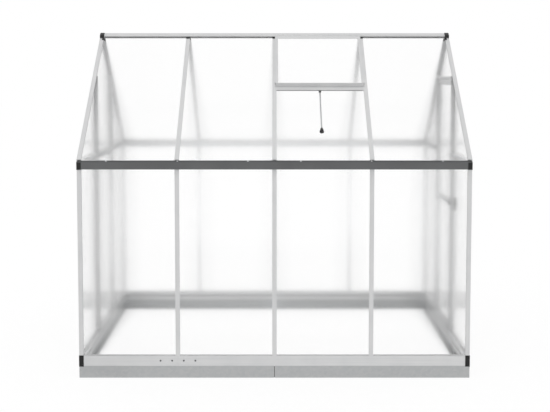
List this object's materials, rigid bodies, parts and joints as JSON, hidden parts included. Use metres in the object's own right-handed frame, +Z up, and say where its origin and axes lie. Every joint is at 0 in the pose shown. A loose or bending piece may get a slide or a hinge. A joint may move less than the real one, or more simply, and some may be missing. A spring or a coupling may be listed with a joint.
{
  "type": "greenhouse",
  "caption": "Aluminium garden greenhouse with clear twin-wall panels on a steel base frame, with gutters, a hinged gable door with a turn latch and a hinged roof vent with its stay.",
  "frame": {"origin": "on the ground, at the centre of the rectangle of anchor holes in the base", "axes": "+X along the ridge towards the door's gable, +Y from the vent's side to the other long side, +Z up"},
  "size_m": [2.4946, 1.942, 2.206],
  "materials": {
    "aluminium": "satin mill finish",
    "galvanised_base": "galvanised",
    "zinc_steel": "zinc plated",
    "grey_gutter": "powder coated, matt",
    "black_plastic": "moulded, matt",
    "clear_panel": "clear twin-wall"
  },
  "bodies": {
    "frame": {"back_rafters": "aluminium", "back_roof_panels": "clear_panel", "back_studs": "aluminium", "back_wall_panels": "clear_panel", "base_back_left": "galvanised_base", "base_back_right": "galvanised_base", "base_corner_angles": "zinc_steel", "base_door_end": "galvanised_base", "base_front_left": "galvanised_base", "base_front_right": "galvanised_base", "base_left_end": "galvanised_base", "base_splice_plates": "zinc_steel", "corner_post_back_left": "aluminium", "corner_post_back_right": "aluminium", "corner_post_front_left": "aluminium", "corner_post_front_right": "aluminium", "door_header": "aluminium", "door_jamb_back": "aluminium", "door_jamb_front": "aluminium", "door_threshold": "aluminium", "eave_beam_back": "aluminium", "eave_beam_front": "aluminium", "eave_end_plugs": "black_plastic", "front_rafters": "aluminium", "front_roof_panels": "clear_panel", "front_studs": "aluminium", "front_wall_panels": "clear_panel", "gable_ties": "aluminium", "gutter_back": "grey_gutter", "gutter_end_caps": "black_plastic", "gutter_front": "grey_gutter", "jamb_hinge_leaves": "zinc_steel", "left_end_rafters": "aluminium", "left_gable_panels": "clear_panel", "left_gable_studs": "aluminium", "rafter_top_plugs": "black_plastic", "ridge_beam": "aluminium", "ridge_end_caps": "black_plastic", "right_end_rafters": "aluminium", "right_gable_panels": "clear_panel", "sill_back_long": "aluminium", "sill_back_short": "aluminium", "sill_corner_caps": "black_plastic", "sill_front_long": "aluminium", "sill_front_short": "aluminium", "sill_left_end": "aluminium", "sill_splices": "aluminium", "stay_clip": "black_plastic", "vent_crossbar": "aluminium"},
    "vent": {"vent_hinge_rail": "aluminium", "vent_side_rails": "aluminium", "vent_bottom_rail": "aluminium", "vent_panel": "clear_panel"},
    "vent_stay": {"stay_rod": "zinc_steel", "stay_grip": "black_plastic"},
    "door": {"door_stiles": "aluminium", "door_rails": "aluminium", "door_panels": "clear_panel", "door_hinge_leaves": "zinc_steel"},
    "door_latch": {"door_latch": "black_plastic"}
  },
  "joints": [
    {"name": "vent_hinge", "type": "hinge", "parent": "frame", "child": "vent", "pos_m": [0.305, -0.029, 2.18097], "axis": [-1, 0, 0], "range_deg": [0, 45]},
    {"name": "stay_swing", "type": "hinge", "parent": "frame", "child": "vent_stay", "pos_m": [0.305, -0.42257, 1.79843], "axis": [1, 0, 0], "range_deg": [0, 180]},
    {"name": "door_hinge", "type": "hinge", "parent": "frame", "child": "door", "pos_m": [1.2395, 0.2895, 1.005], "axis": [0, 0, 1], "range_deg": [0, 100]},
    {"name": "latch_turn", "type": "hinge", "parent": "door", "child": "door_latch", "pos_m": [1.22, -0.2785, 1.02], "axis": [1, 0, 0], "range_deg": [0, 90]}
  ]
}
